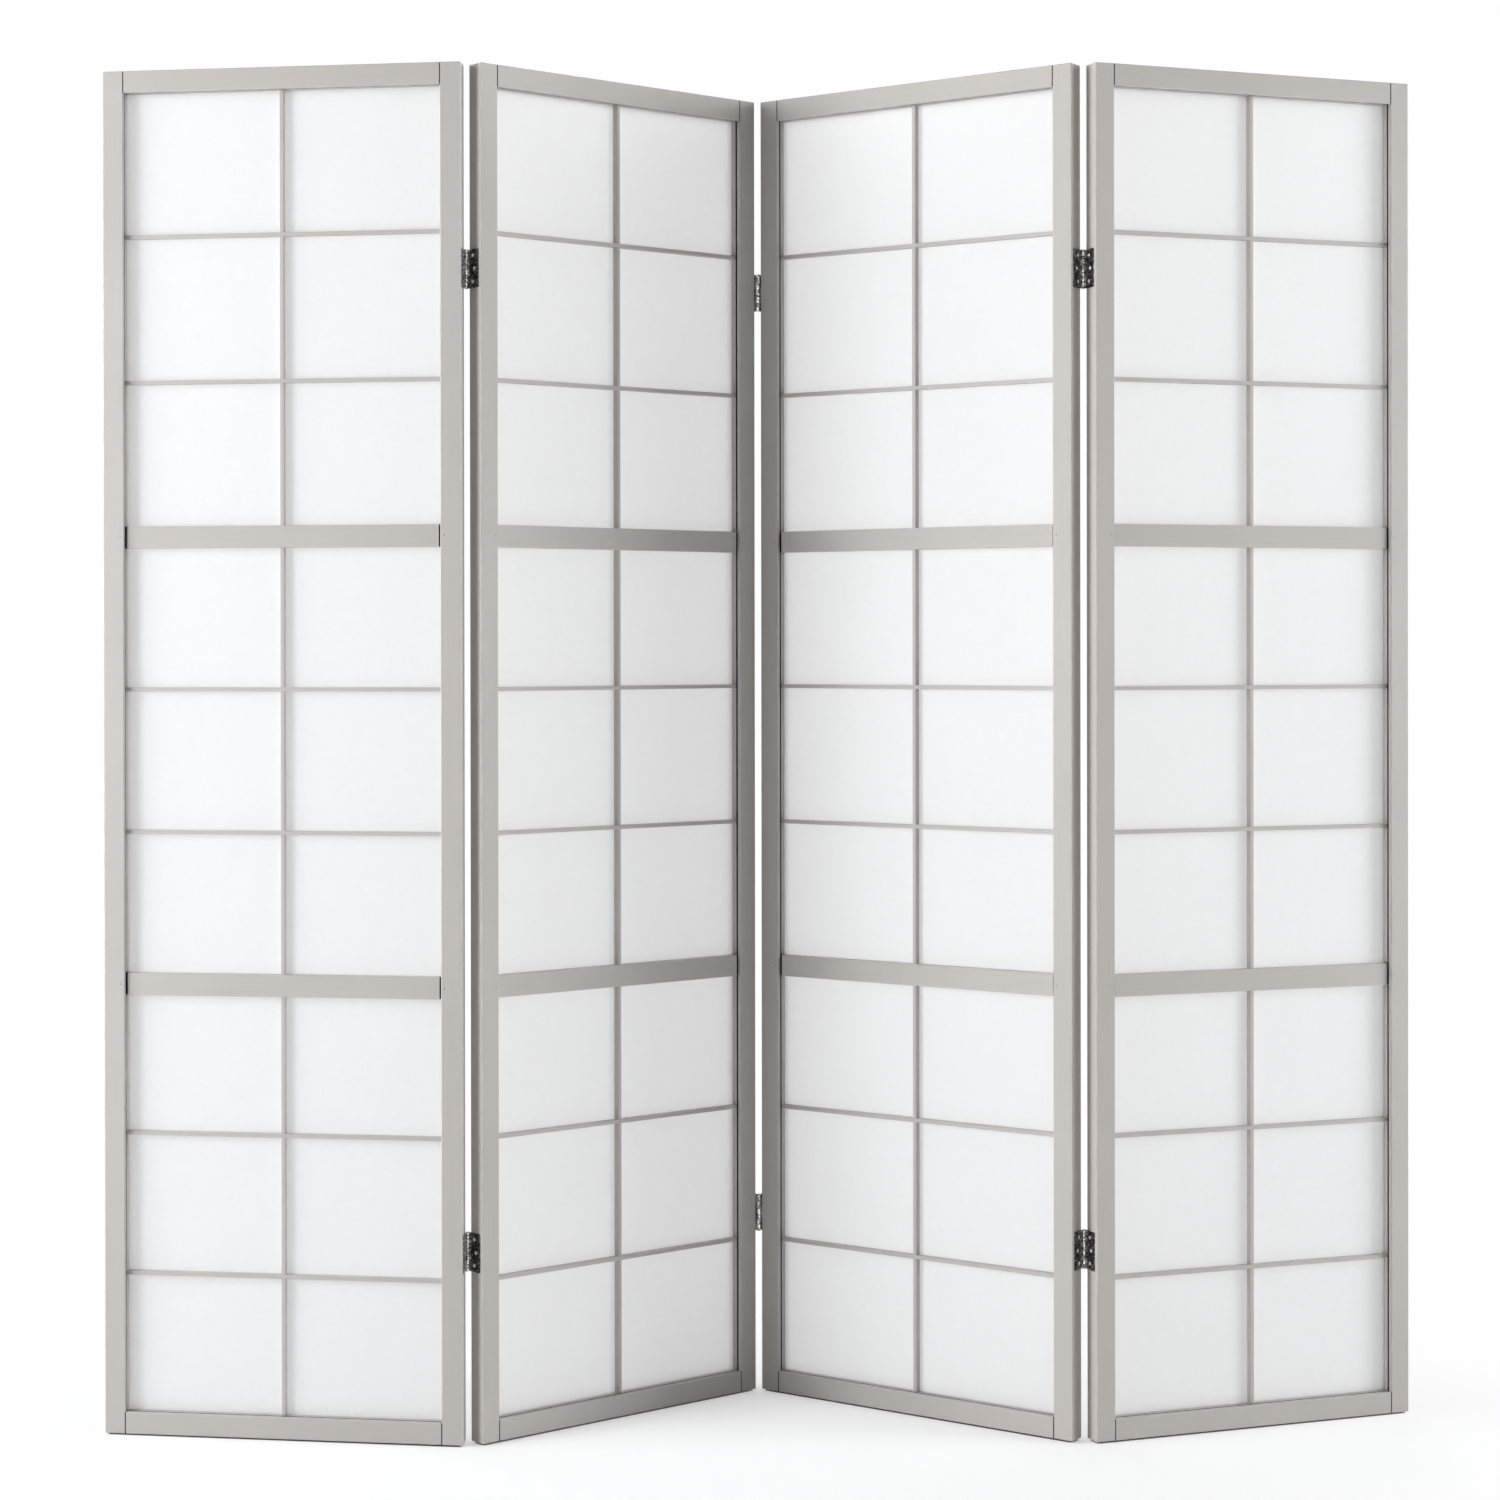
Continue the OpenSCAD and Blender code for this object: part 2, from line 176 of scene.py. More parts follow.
class Shader:
    """A node tree under construction, with short calls to add nodes and link them."""

    def __init__(self, tree: NodeTree) -> None:
        """Takes an empty node tree."""
        self.tree = tree

    def add(self, kind: str, settings: dict | None = None, **inputs: object) -> Node:
        """Adds a node and fills its inputs.

        Args:
            kind: The node's type name after ShaderNode.
            settings: Attributes to set on the node.
            inputs: Values or output sockets, by the input's name with _ for a space.

        Returns:
            The new node.
        """
        node = self.tree.nodes.new(f"ShaderNode{kind}")
        for name, value in (settings or {}).items():
            setattr(node, name, value)
        self.fill(node, **inputs)
        return node

    def fill(self, node: Node, **inputs: object) -> None:
        """Fills a node's inputs, by their names with _ for a space."""
        for name, value in inputs.items():
            self.feed(node.inputs[name.replace("_", " ")], value)

    def group(self, tree: NodeTree, **inputs: object) -> NodeOutputs:
        """The results of a node group with its own values."""
        return self.add("Group", {"node_tree": tree}, **inputs).outputs

    def feed(self, socket: NodeSocket, value: object) -> None:
        """Links an output socket to a socket, or sets the socket to a value."""
        if isinstance(value, NodeSocket):
            self.tree.links.new(value, socket)
        else:
            socket.default_value = value

    def feed_each(self, sockets: list[NodeSocket], *values: object) -> None:
        """Feeds some sockets in their order."""
        for socket, value in zip(sockets, values):
            self.feed(socket, value)

    def place(self) -> NodeSocket:
        """Object coordinates, which are the row frame's."""
        return self.add("TexCoord").outputs["Object"]

    def vector(self, operation: str, *values: object) -> Node:
        """A Vector Math node on one or two vectors."""
        node = self.add("VectorMath", {"operation": operation})
        self.feed_each(node.inputs, *values)
        return node

    def mapped(self, vector: NodeSocket, kind: str = "POINT", **inputs: object) -> NodeSocket:
        """A vector after a Mapping node."""
        return self.add("Mapping", {"vector_type": kind}, Vector=vector, **inputs).outputs["Vector"]

    def bump(self, strength: float, distance: float, height: NodeSocket) -> NodeSocket:
        """The normal of a bumpy surface."""
        return self.add("Bump", Strength=strength, Distance=distance, Height=height).outputs["Normal"]

    def maths(self, operation: str, *values: object) -> NodeSocket:
        """The result of a Math node on up to three numbers."""
        node = self.add("Math", {"operation": operation})
        self.feed_each(node.inputs, *values)
        return node.outputs[0]

    def ramp(self, value: object, low: float, high: float, to_low: float = 0.0, to_high: float = 1.0,
             smooth: bool = True) -> NodeSocket:
        """A value taken from one range to another, clamped and by default smooth at its ends."""
        node = self.add(
            "MapRange",
            {"interpolation_type": "SMOOTHSTEP" if smooth else "LINEAR", "clamp": True},
            Value=value, From_Min=low, From_Max=high, To_Min=to_low, To_Max=to_high,
        )
        return node.outputs["Result"]

    def stretched(self, vector: object, scale: tuple[float, float, float]) -> NodeSocket:
        """A vector times a scale along each axis."""
        return self.vector("MULTIPLY", vector, scale).outputs["Vector"]

    def noise(self, vector: object, scale: float, detail: float = 3.0, roughness: float = 0.55,
              distortion: float = 0.0) -> NodeSocket:
        """The grey value of a noise texture."""
        node = self.add(
            "TexNoise", Vector=vector, Scale=scale, Detail=detail, Roughness=roughness,
            Distortion=distortion,
        )
        return node.outputs["Fac"]

    def principled(self, **inputs: object) -> NodeSocket:
        """A Principled surface with some of its inputs filled."""
        return self.add("BsdfPrincipled", **inputs).outputs["BSDF"]

    def tinted(self, colour: Colour, tint: NodeSocket) -> NodeSocket:
        """A colour times a grey."""
        grey = self.add("CombineColor", Red=tint, Green=tint, Blue=tint).outputs["Color"]
        return self.blend(1.0, colour, grey, "MULTIPLY")

    def mixed(self, factor: object, first: NodeSocket, second: NodeSocket) -> NodeSocket:
        """Two shaders mixed by a factor."""
        node = self.add("MixShader")
        self.feed_each(node.inputs, factor, first, second)
        return node.outputs["Shader"]

    def blend(self, factor: object, first: object, second: object, mode: str = "MIX") -> NodeSocket:
        """Two colours mixed by a factor."""
        node = self.add("Mix", {"data_type": "RGBA", "blend_type": mode})
        self.fill(node, Factor=factor, A=first, B=second)
        return node.outputs["Result"]


class EffectGroups:
    """The shader node groups that several finishes share, each built once."""

    @staticmethod
    def _start(name: str, vectors: tuple[str, ...], numbers: dict[str, float],
               results: tuple[str, ...]) -> tuple[Shader, NodeOutputs, Node]:
        """Makes an empty group with its sockets.

        Args:
            name: The group's name.
            vectors: The names of its vector inputs.
            numbers: The names and defaults of its number inputs.
            results: The names of its outputs, all numbers.

        Returns:
            The group's shader, its inputs' values and its output node.
        """
        tree = bpy.data.node_groups.new(name, "ShaderNodeTree")
        for vector in vectors:
            tree.interface.new_socket(vector, in_out="INPUT", socket_type="NodeSocketVector")
        for number, default in numbers.items():
            socket = tree.interface.new_socket(number, in_out="INPUT", socket_type="NodeSocketFloat")
            socket.default_value = default
        for result in results:
            tree.interface.new_socket(result, in_out="OUTPUT", socket_type="NodeSocketFloat")
        given = tree.nodes.new("NodeGroupInput").outputs
        return Shader(tree), given, tree.nodes.new("NodeGroupOutput")

    @cached_property
    def brushed_coat(self) -> NodeTree:
        """Brush marks, grain that shows through the paint and slight mottling, along Z."""
        s, given, out = self._start("brushed coat", ("Vector",), {}, ("Streaks", "Mottle", "Height"))
        vector = given["Vector"]
        streaks = s.noise(s.stretched(vector, (1.0, 1.0, 0.02)), 900, 3)
        grain = s.noise(s.stretched(vector, (1.0, 1.0, 0.035)), 260, 4, 0.6, 0.6)
        pores = s.ramp(grain, 0.60, 0.74)
        orange_peel = s.noise(vector, 1100, 2)
        height = s.maths("MULTIPLY_ADD", streaks, 0.5, s.maths("MULTIPLY", orange_peel, 0.35))
        s.fill(
            out,
            Streaks=s.maths("SUBTRACT", streaks, s.maths("MULTIPLY", pores, 0.5)),
            Mottle=s.noise(vector, 7, 3),
            Height=s.maths("SUBTRACT", height, s.maths("MULTIPLY", pores, 0.45)),
        )
        return s.tree

    @cached_property
    def arris_wear(self) -> NodeTree:
        """Where an arris is rubbed: on the faces that look along no axis of the panel's frame."""
        s, given, out = self._start("arris wear", ("Vector", "Normal"), {"Amount": 0.5}, ("Mask",))
        way = s.add("SeparateXYZ", Vector=given["Normal"])
        across, deep, high = (s.maths("ABSOLUTE", way.outputs[axis]) for axis in "XYZ")
        arris = s.ramp(s.maths("MAXIMUM", s.maths("MAXIMUM", across, deep), high), 0.96, 0.88)
        patches = s.ramp(s.noise(given["Vector"], 38, 5, 0.65), 0.40, 0.64)
        rubbed = s.maths("MULTIPLY", arris, patches)
        s.fill(out, Mask=s.maths("MULTIPLY", rubbed, given["Amount"]))
        return s.tree

    @cached_property
    def rebate(self) -> NodeTree:
        """How far a point is outside its panel's opening, and a mask along the rails' ends for the
        painted shade in the joint grooves.
        """
        s, given, out = self._start(
            "rebate and joints", ("Vector",), {"Half Width": 0.2, "Half Height": 0.8, "Middle": 0.85},
            ("Outside", "Joint"),
        )
        parts = s.add("SeparateXYZ", Vector=given["Vector"])
        off_middle = s.maths("ABSOLUTE", parts.outputs["X"])
        across = s.maths("SUBTRACT", off_middle, given["Half Width"])
        level = s.maths("ABSOLUTE", s.maths("SUBTRACT", parts.outputs["Z"], given["Middle"]))
        above = s.maths("SUBTRACT", level, given["Half Height"])
        at_end = s.ramp(s.maths("ABSOLUTE", across), 0.95 * MM, 0.45 * MM)
        s.fill(
            out,
            Outside=s.maths("MAXIMUM", across, above),
            Joint=s.maths("MULTIPLY", at_end, s.ramp(above, -0.2 * MM, 0.4 * MM)),
        )
        return s.tree

    @cached_property
    def wood_grain(self) -> NodeTree:
        """Long fibres and growth bands of bare wood, along Z."""
        s, given, out = self._start("wood grain", ("Vector",), {}, ("Bands", "Fibres"))
        vector = given["Vector"]
        s.fill(
            out,
            Bands=s.noise(s.stretched(vector, (1.0, 1.0, 0.05)), 160, 4, 0.5, 1.2),
            Fibres=s.noise(s.stretched(vector, (1.0, 1.0, 0.02)), 1400, 3),
        )
        return s.tree

    @cached_property
    def fibre_mat(self) -> NodeTree:
        """The cloudy mat of fine fibres in a non-woven sheet."""
        s, given, out = self._start("fibre mat", ("Vector",), {}, ("Clouds", "Fibres", "Height"))
        vector = given["Vector"]
        fibres = 0.0
        for turn in (0.3, 1.25, 2.4):
            turned = s.mapped(vector, Rotation=(0.0, turn, 0.0))
            layer = s.noise(s.stretched(turned, (1.0, 1.0, 0.06)), 1500, 2, 0.5, 0.4)
            fibres = s.maths("MAXIMUM", fibres, layer)
        clouds = s.noise(vector, 90, 4, 0.6)
        s.fill(out, Clouds=clouds, Fibres=s.ramp(fibres, 0.5, 0.8), Height=fibres)
        return s.tree


def new_material(name: str) -> tuple[Material, Shader, Node]:
    """An empty node material, its shader and its output node."""
    material = bpy.data.materials.new(name)
    material.use_nodes = True
    material.node_tree.nodes.clear()
    shader = Shader(material.node_tree)
    return material, shader, shader.add("OutputMaterial")


@dataclass(frozen=True)
class PanelPlace:
    """Where one panel stands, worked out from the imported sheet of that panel.

    Attributes:
        number: 1 to 4 from the left.
        front_middle: The point on the front face above the middle of the panel's foot.
        turn: The panel's turn about +Z from the line of the front, in radians.
        sheet_w: Width of its sheet.
        sheet_t: Thickness of its sheet.
        sheet_low: Lower edge of its sheet.
        sheet_high: Upper edge of its sheet.
    """

    number: int
    front_middle: Vector
    turn: float
    sheet_w: float
    sheet_t: float
    sheet_low: float
    sheet_high: float

    @classmethod
    def read(cls, number: int, node: Object, sizes: ScreenSizes) -> PanelPlace:
        """Reads the panel's place from its sheet, a thin upright block.

        Args:
            number: The panel's number.
            node: The CAD node of its sheet.
            sizes: The joinery's sizes.

        Returns:
            The panel's place.
        """
        points = np.unique(np.round([tuple(v.co) for v in node.data.vertices], 7), axis=0)
        plan = np.unique(points[:, :2], axis=0)
        middle = plan.mean(axis=0)
        along = np.linalg.svd(plan - middle)[2][0]
        along = along if along[0] > 0 else -along
        back = np.array([-along[1], along[0]])
        width = float(np.ptp(plan @ along))
        thickness = float(np.ptp(plan @ back))
        front = middle - back * (sizes.sheet_front + thickness / 2)
        return cls(
            number, Vector((front[0], front[1], 0.0)), math.atan2(along[1], along[0]),
            width, thickness, float(points[:, 2].min()), float(points[:, 2].max()),
        )

    @property
    def body(self) -> str:
        """The body that the panel's pieces ride on."""
        return f"panel_{self.number}"

    @property
    def opening(self) -> dict[str, float]:
        """Half the opening's width and height between the bars, and the height of its middle."""
        sizes = ScreenSizes()
        behind_bars = sizes.rebate_w - sizes.sheet_edge_gap
        return {
            "Half_Width": self.sheet_w / 2 - behind_bars,
            "Half_Height": (self.sheet_high - self.sheet_low) / 2 - behind_bars,
            "Middle": self.middle_level,
        }

    @property
    def middle_level(self) -> float:
        """Height of the opening's middle."""
        return (self.sheet_low + self.sheet_high) / 2

    def matrix(self) -> Matrix:
        """The matrix from the panel's own frame to the row frame."""
        return Matrix.Translation(self.front_middle) @ Matrix.Rotation(self.turn, 4, "Z")

    def local(self, s: Shader) -> NodeSocket:
        """A shader's point in the panel's own frame."""
        return s.mapped(
            s.place(), "TEXTURE", Location=self.front_middle, Rotation=(0.0, 0.0, self.turn))


@dataclass(frozen=True)
class PaintedRecessShade:
    """Where a piece is painted near-black as shade, in its rebates and slots, measured in its panel's
    frame.

    Attributes:
        outside: Least and most distance outside the opening.
        depth: Least and most depth behind the front face.
    """

    outside: tuple[float, float]
    depth: tuple[float, float]

    def mask(self, s: Shader, outside: NodeSocket, depth: NodeSocket) -> NodeSocket:
        """One where the shade is painted and nought elsewhere, by a point's place outside and its
        depth.
        """
        inside = 1.0
        for value, (least, most) in ((outside, self.outside), (depth, self.depth)):
            inside = s.maths("MULTIPLY", inside, s.maths("GREATER_THAN", value, least))
            inside = s.maths("MULTIPLY", inside, s.maths("LESS_THAN", value, most))
        return inside


@dataclass(frozen=True)
class PaintedWood:
    """Warm light grey satin paint on wood, with the grain just showing through it.

    Attributes:
        name: The first part of the materials' names.
        colour: The paint's colour.
        worn_colour: The colour where an arris is rubbed.
        painted_shade_colour: The near-black painted shade in the rebates and slots, where shade
            falls.
        joint_shade_colour: The painted shade in the fine grooves where the rails meet the stiles.
        wear: How much of the arrises is rubbed.
        roughness: The paint's roughness.
    """

    name: str
    colour: Colour
    worn_colour: Colour = (0.70, 0.68, 0.65, 1.0)
    painted_shade_colour: Colour = (0.022, 0.019, 0.016, 1.0)
    joint_shade_colour: Colour = (0.045, 0.040, 0.036, 1.0)
    wear: float = 0.6
    roughness: float = 0.46

    def make(self, groups: EffectGroups, place: PanelPlace, grain: Grain,
             shaded_parts: tuple[PaintedRecessShade, ...] = ()) -> Material:
        """The paint on the pieces of one panel whose grain runs one way.

        Args:
            groups: The shared shader groups.
            place: The panel's place.
            grain: The way of the grain.
            shaded_parts: The parts of the wood that are painted near-black as shade.

        Returns:
            The material.
        """
        material, s, out = new_material(f"{self.name} {grain.value} panel {place.number}")
        local = place.local(s)
        facing = s.mapped(
            s.add("TexCoord").outputs["Normal"], "NORMAL", Rotation=(0.0, 0.0, -place.turn))
        grain_turn = 0.0 if grain is Grain.UPRIGHT else math.pi / 2
        grain_way = s.mapped(
            local, Rotation=(0.0, grain_turn, 0.0),
            Location=(0.37 * place.number, 0.11, 0.71 * place.number),
        )
        coat = s.group(groups.brushed_coat, Vector=grain_way)
        wear = s.group(groups.arris_wear, Vector=local, Normal=facing, Amount=self.wear)
        streaks = coat["Streaks"]
        tint = s.maths(
            "MULTIPLY",
            s.ramp(coat["Mottle"], 0.3, 0.7, 0.975, 1.02, smooth=False),
            s.ramp(streaks, 0.2, 0.7, 0.975, 1.015, smooth=False),
        )
        painted = s.blend(wear["Mask"], s.tinted(self.colour, tint), self.worn_colour)
        where = s.group(groups.rebate, Vector=local, **place.opening)
        # Painted shade in the joint grooves where the rails meet the stiles
        painted = s.blend(where["Joint"], painted, self.joint_shade_colour)
        depth = s.add("SeparateXYZ", Vector=local).outputs["Y"]
        # Painted shade: these parts are painted near-black where shade falls in the rebates and slots
        for part in shaded_parts:
            painted = s.blend(part.mask(s, where["Outside"], depth), painted, self.painted_shade_colour)
        surface = s.principled(
            Base_Color=painted,
            Roughness=s.ramp(streaks, 0.2, 0.7, self.roughness + 0.06, self.roughness - 0.04),
            Specular_IOR_Level=0.3,
            Normal=s.bump(0.22, 0.12 * MM, coat["Height"]),
        )
        s.fill(out, Surface=surface)
        return material


@dataclass(frozen=True)
class BareWood:
    """The dowels' pale bare wood."""

    name: str = "bare dowel wood"
    light: Colour = (0.55, 0.40, 0.25, 1.0)
    dark: Colour = (0.40, 0.27, 0.15, 1.0)

    def make(self, groups: EffectGroups, place: PanelPlace) -> Material:
        """The material for one panel, with the grain along the dowels."""
        material, s, out = new_material(f"{self.name} panel {place.number}")
        along = s.mapped(place.local(s), Rotation=(0.0, math.pi / 2, 0.0))
        grain = s.group(groups.wood_grain, Vector=along)
        surface = s.principled(
            Base_Color=s.blend(grain["Bands"], self.dark, self.light),
            Roughness=s.ramp(grain["Fibres"], 0.3, 0.7, 0.75, 0.6),
            Normal=s.bump(0.3, 0.1 * MM, grain["Fibres"]),
        )
        s.fill(out, Surface=surface)
        return material


@dataclass(frozen=True)
class TranslucentSheet:
    """A smooth white non-woven sheet that glows in the light behind it.

    Attributes:
        name: The material's name.
        colour: What it sends back.
        glow: What it lets through.
        through: The share of the light that goes through each of its faces.
    """

    name: str = "translucent sheet"
    colour: Colour = (0.86, 0.86, 0.862, 1.0)
    glow: Colour = (0.925, 0.925, 0.926, 1.0)
    through: float = 0.6

    def make(self, groups: EffectGroups) -> Material:
        """The material of all four sheets."""
        material, s, out = new_material(self.name)
        mat = s.group(groups.fibre_mat, Vector=s.place())
        tint = s.maths(
            "MULTIPLY",
            s.ramp(mat["Clouds"], 0.3, 0.7, 0.985, 1.0, smooth=False),
            s.ramp(mat["Fibres"], 0.0, 1.0, 1.0, 0.975, smooth=False),
        )
        front = s.principled(
            Base_Color=s.tinted(self.colour, tint), Roughness=0.75, Specular_IOR_Level=0.25,
            Normal=s.bump(0.15, 0.05 * MM, mat["Height"]),
        )
        through = s.add("BsdfTranslucent", Color=s.tinted(self.glow, tint)).outputs["BSDF"]
        s.fill(out, Surface=s.mixed(self.through, front, through))
        return material


@dataclass(frozen=True)
class PlatedSteel:
    """Plated steel of the hinges and their screws, or the dull steel of the brads. The hinges' copies
    are painted darker or brighter than the steel, as painted shade and highlights.

    Attributes:
        name: The material's name.
        colour: The metal's colour.
        patch: Its colour in patches: changed plating, and on the knuckles painted dark reflections.
        roughness: Roughness where it is clean.
        patches_per_m: How fine the patches are.
        patch_levels: The noise levels between which a patch sets in.
        patch_depth: How far a patch's colour goes.
    """

    name: str
    colour: Colour
    patch: Colour
    roughness: float
    patches_per_m: float = 160.0
    patch_levels: tuple[float, float] = (0.5, 0.72)
    patch_depth: float = 0.6

    def make(self) -> Material:
        """The material, rolled along Z, with patches of its patch colour: changed plating on the
        screws and brads, painted dark reflections on the knuckles.
        """
        material, s, out = new_material(self.name)
        place = s.place()
        rolled = s.noise(s.stretched(place, (1.0, 1.0, 0.03)), 2600, 3)
        dull = s.ramp(s.noise(place, self.patches_per_m, 4, 0.6), *self.patch_levels)
        tone = s.blend(s.maths("MULTIPLY", dull, self.patch_depth), self.colour, self.patch)
        sheen = s.ramp(rolled, 0.3, 0.7, self.roughness - 0.05, self.roughness + 0.08)
        rough = s.maths("ADD", sheen, s.maths("MULTIPLY", dull, 0.15))
        surface = s.principled(
            Base_Color=tone, Roughness=rough, Metallic=1.0, Normal=s.bump(0.12, 0.03 * MM, rolled))
        s.fill(out, Surface=surface)
        return material


def in_scene(name: str, data: Mesh | Camera | Light) -> Object:
    """A new object in the scene that holds some data."""
    made = bpy.data.objects.new(name, data)
    bpy.context.scene.collection.objects.link(made)
    return made


def finished_piece(name: str, mesh: BMesh, material: Material, place: Matrix) -> Object:
    """Turns a bmesh into a piece with its place in its mesh.

    Args:
        name: The piece's name.
        mesh: The shape, which is used up.
        material: Its finish.
        place: The matrix from the shape's own frame to the row frame.

    Returns:
        The new object, at the origin.
    """
    bmesh.ops.transform(mesh, matrix=place, verts=mesh.verts)
    bmesh.ops.recalc_face_normals(mesh, faces=mesh.faces)
    data = bpy.data.meshes.new(name)
    mesh.to_mesh(data)
    mesh.free()
    data.materials.append(material)
    log.info("made %s", name)
    return in_scene(name, data)


def verts_of(geometry: list) -> list[BMVert]:
    """The vertices among a bmesh operator's results."""
    return [g for g in geometry if isinstance(g, BMVert)]


def ring(shape: BMesh, points: list) -> tuple[list[BMVert], list[BMEdge]]:
    """New vertices at some points, and the edges that join them in a ring."""
    verts = [shape.verts.new(point) for point in points]
    return verts, [shape.edges.new(pair) for pair in zip(verts, verts[1:] + verts[:1])]


def fill_between(shape: BMesh, edges: list[BMEdge]) -> None:
    """Fills the area that some edges bound, holes left open."""
    bmesh.ops.triangle_fill(shape, use_beauty=True, use_dissolve=False, edges=edges)


def edges_between(geometry: list, verts: list[BMVert]) -> list[BMEdge]:
    """The edges among a bmesh operator's results that join two of the given vertices."""
    return [g for g in geometry if isinstance(g, BMEdge) and all(v in verts for v in g.verts)]


def smooth_by_angle(piece: Object) -> None:
    """Shades a piece smooth, and sharp where its faces meet at an edge."""
    data = piece.data
    data.polygons.foreach_set("use_smooth", [True] * len(data.polygons))
    shape = bmesh.new()
    shape.from_mesh(data)
    for edge in shape.edges:
        edge.smooth = len(edge.link_faces) == 2 and edge.calc_face_angle(math.pi) < SMOOTH_BELOW
    shape.to_mesh(data)
    shape.free()


def break_edges(piece: Object, width: float) -> None:
    """Rounds the sharp edges of a metal piece, so that they catch the light."""
    rounded = piece.modifiers.new("broken edges", "BEVEL")
    rounded.width = width
    rounded.segments = 2
    rounded.limit_method = "ANGLE"
    rounded.angle_limit = BREAK_ABOVE
    rounded.harden_normals = True


@dataclass
class SheetMaker:
    """Makes the translucent sheets, drawn flat in their rebates with slight slack between the bars.

    Attributes:
        sizes: The joinery's sizes.
        columns: Faces across a sheet.
        rows: Faces up a sheet.
        slack: The most that the sheet stands back from the bars.
        ripple: Length of one ripple.
    """

    sizes: ScreenSizes
    columns: int = 46
    rows: int = 160
    slack: float = 0.45 * MM
    ripple: float = 0.14

    def build(self, place: PanelPlace, material: Material) -> None:
        """Args:
            place: The panel's place.
            material: The sheet's finish.
        """
        height = place.sheet_high - place.sheet_low
        shape = bmesh.new()
        bmesh.ops.create_grid(shape, x_segments=self.columns, y_segments=self.rows, size=0.5)
        bmesh.ops.scale(shape, vec=(place.sheet_w, height, 1.0), verts=shape.verts)
        upright = Matrix.Rotation(math.pi / 2, 3, "X")
        bmesh.ops.rotate(shape, cent=(0, 0, 0), matrix=upright, verts=shape.verts)
        bmesh.ops.translate(
            shape, vec=(0.0, self.sizes.sheet_front, place.middle_level), verts=shape.verts)
        self._slacken(shape, place)
        bmesh.ops.solidify(shape, geom=list(shape.faces), thickness=place.sheet_t)
        piece = finished_piece(f"{place.body}_translucent_sheet", shape, material, place.matrix())
        smooth_by_angle(piece)
        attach(piece, place.body)
        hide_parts(f"panel_{place.number}_sheet")

    def _slacken(self, shape: BMesh, place: PanelPlace) -> None:
        """Lets the sheet stand back a little where nothing holds it."""
        edge_fade = 0.03
        for vert in shape.verts:
            u, z = vert.co.x, vert.co.z
            from_side = place.sheet_w / 2 - self.sizes.rebate_w - abs(u)
            from_end = min(z - place.sheet_low, place.sheet_high - z) - self.sizes.rebate_w
            free = max(0.0, min(1.0, min(from_side, from_end) / edge_fade))
            spot = Vector((u / self.ripple, 3.7 * place.number, z / self.ripple))
            vert.co.y += self.slack * free * (0.5 + 0.5 * noise.noise(spot))


